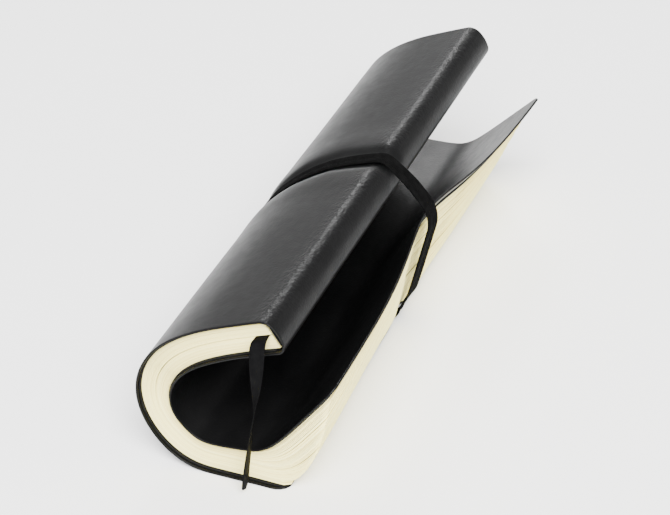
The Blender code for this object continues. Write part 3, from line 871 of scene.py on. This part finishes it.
def band_line():
    """The band's inner line round the roll, taut across the hollows, as (x, z, how far it strays along y)."""
    outer_end = sheet_end(LEATHER / 2, 0.0, COVER_WIDTH)
    inner_end = sheet_end(STACK - LEATHER / 2, 0.0, COVER_WIDTH)
    places = [(along, -BAND_CLEARANCE) for along in BAND_STATIONS]
    places += [(outer_end + 0.6, -BAND_CLEARANCE - 0.1), (outer_end + EDGE_CLEARANCE, LEATHER)]
    places += [
        (sheet_end(depth, PAGES_START, PAGE_WIDTH) + PAGE_CLEARANCE, depth) for depth in BAND_PAGE_DEPTHS
    ]
    inner_depth = STACK + INNER_CLEARANCE
    spine = spine_edge(STACK) - SPINE_CLEARANCE
    places += [
        (inner_end + EDGE_CLEARANCE, STACK - LEATHER), (inner_end + 0.7, inner_depth),
        (spine_edge(STACK) + 1.2, inner_depth),
        (spine, STACK - SPINE_CLEARANCE), (spine, STACK - SPINE_ROUND),
    ]
    places += TOP_FOLD_PLACES
    points = [(along, BAND_Y, depth) for along, depth in places]
    inner = curled(points, lambda along, y: np.full_like(y, BAND_WAIST))[:, [0, 2]] / MM
    kept = convex_hull_2d([Vector(place) for place in inner.tolist()])
    strays = stray(np.array([along for along, depth in places]))
    return np.column_stack((inner, strays))[kept]


def evened(line, spacing, blur):
    """A closed line resampled evenly in x and z, with its corners eased over blur millimetres."""
    loop = np.concatenate((line, line[:1]))
    run = np.concatenate(([0.0], np.cumsum(np.linalg.norm(np.diff(loop[:, :2], axis=0), axis=1))))
    count = int(run[-1] / spacing)
    where = np.linspace(0.0, run[-1], count, endpoint=False)
    even = np.stack([np.interp(where, run, column) for column in loop.T], axis=1)
    reach = round(blur / spacing)
    return sum(np.roll(even, shift, axis=0) for shift in range(-reach, reach + 1)) / (2 * reach + 1)


def elastic_band():
    """A flat woven elastic: lengthwise ribs, a groove along its middle, and a slight turn at the mouth."""
    taut = band_line()
    line = evened(taut, BAND_STEP, 2 * BAND_STEP)[:, :2]
    bowed = np.prod(np.clip((line - BOW_FROM) / BOW_RAMP, 0.0, 1.0), axis=1)[:, None]
    bowed = bowed * bowed * (3.0 - 2.0 * bowed)
    line = line + (evened(taut, BAND_STEP, BAND_EASE)[:, :2] - line) * bowed
    strays = evened(taut, BAND_STEP, STRAY_EASE)[:, 2:]
    run = np.roll(line, -1, axis=0) - np.roll(line, 1, axis=0)
    run = run / np.linalg.norm(run, axis=1)[:, None]
    outwards = np.stack((run[:, 1], -run[:, 0]), axis=1)
    centre = line.mean(axis=0)
    if np.sum(outwards * (line - centre)) < 0:
        outwards = -outwards
    turns = np.linspace(0.0, 2 * math.pi, BAND_SIDES, endpoint=False)
    flat = np.sign(np.cos(turns)) * np.abs(np.cos(turns)) ** SQUARE_ACROSS
    high = np.sign(np.sin(turns)) * np.abs(np.sin(turns)) ** SQUARE_THROUGH
    ribs = RIB_HEIGHT * np.cos(flat * RIBS * math.pi) * (np.abs(flat) < RIBS_REACH)
    rib = 1.0 + ribs - MIDDLE_GROOVE * np.exp(-((flat / MIDDLE_WIDTH) ** 2))
    width = BAND_WIDTH / 2 * flat
    lift = BAND_THICKNESS / 2 * (1.0 + high * rib * BAND_FULLNESS)
    twist = BAND_TWIST * bowed
    away = lift * np.cos(twist) + width * np.sin(twist) + BAND_BOW * bowed
    rings = np.empty((len(line), BAND_SIDES, 3))
    rings[..., 0] = line[:, None, 0] + outwards[:, None, 0] * away
    rings[..., 1] = BAND_Y - BOOK_LENGTH / 2 + strays + width * np.cos(twist) - lift * np.sin(twist)
    rings[..., 2] = line[:, None, 1] + outwards[:, None, 1] * away
    index = np.arange(len(line) * BAND_SIDES).reshape(len(line), BAND_SIDES)
    beside, after = np.roll(index, -1, axis=1), np.roll(index, -1, axis=0)
    corner = np.roll(after, -1, axis=1)
    faces = np.stack((index, beside, corner, after), axis=-1).reshape(-1, 4).tolist()
    piece = make_piece("elastic_loop", rings.reshape(-1, 3), faces, ELASTIC_FINISH, "woven_elastic")
    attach(piece, "band")
    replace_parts(piece, "elastic_band")


# ---------------------------------------------------------------- build

ribbon_tail()
ribbon_run()
cover_leather()
lining_depth = LEATHER + LAYER_GAP
lining("front_lining", lining_depth)
lining("back_lining", STACK - lining_depth - LINING)
paper_depth = lining_depth + LINING + LAYER_GAP
endpaper("front_endpaper", paper_depth)
endpaper("back_endpaper", STACK - paper_depth - ENDPAPER)
chance = np.random.default_rng(7)
for number in range(GATHERINGS):
    gathering(number, chance)
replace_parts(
    spine_strip("spine_card", SPINE_LINING_START, LINING, SPINE_LINING_DEPTHS, LINING_LENGTH, CARD_FINISH,
                "lining_card"),
    "spine_lining",
)
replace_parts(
    spine_strip("spine_cloth", MULL_START, MULL, (STACK_START, STACK - STACK_START), MULL_LENGTH, MULL_FINISH,
                "binding_cloth"),
    "spine_mull",
)
sewing_thread()
elastic_band()


# ---------------------------------------------------------------- studio

def add_floor():
    bpy.ops.mesh.primitive_plane_add(size=6.0)
    floor = bpy.context.active_object
    floor.name = "floor"
    floor.data.materials.append(new_material("floor_white", (0.9, 0.9, 0.9), 0.9, Specular_IOR_Level=0.0))


def add_light(name, place, aim, size, power):
    data = bpy.data.lights.new(name, "AREA")
    data.shape = "RECTANGLE"
    data.size, data.size_y = size
    data.energy = power
    light = bpy.data.objects.new(name, data)
    light.location = place
    light.rotation_euler = (Vector(aim) - Vector(place)).to_track_quat("-Z", "Y").to_euler()
    bpy.context.scene.collection.objects.link(light)


def add_world(level):
    world = bpy.data.worlds.new("studio")
    world.use_nodes = True
    background = world.node_tree.nodes["Background"]
    background.inputs["Color"].default_value = (1.0, 1.0, 1.0, 1.0)
    background.inputs["Strength"].default_value = level
    bpy.context.scene.world = world


add_floor()
add_world(0.75)
add_light("front_panel", (0.6, -1.2, 1.6), (0.0, 0.0, 0.03), (1.5, 1.5), 200.0)
add_light("back_panel", (-0.7, 1.7, 1.1), (0.0, 0.0, 0.05), (2.2, 1.2), 12.0)
add_light("back_strip", (-0.40, 1.0, 0.72), (0.0, 0.0, 0.06), (0.3, 0.3), 9.0)
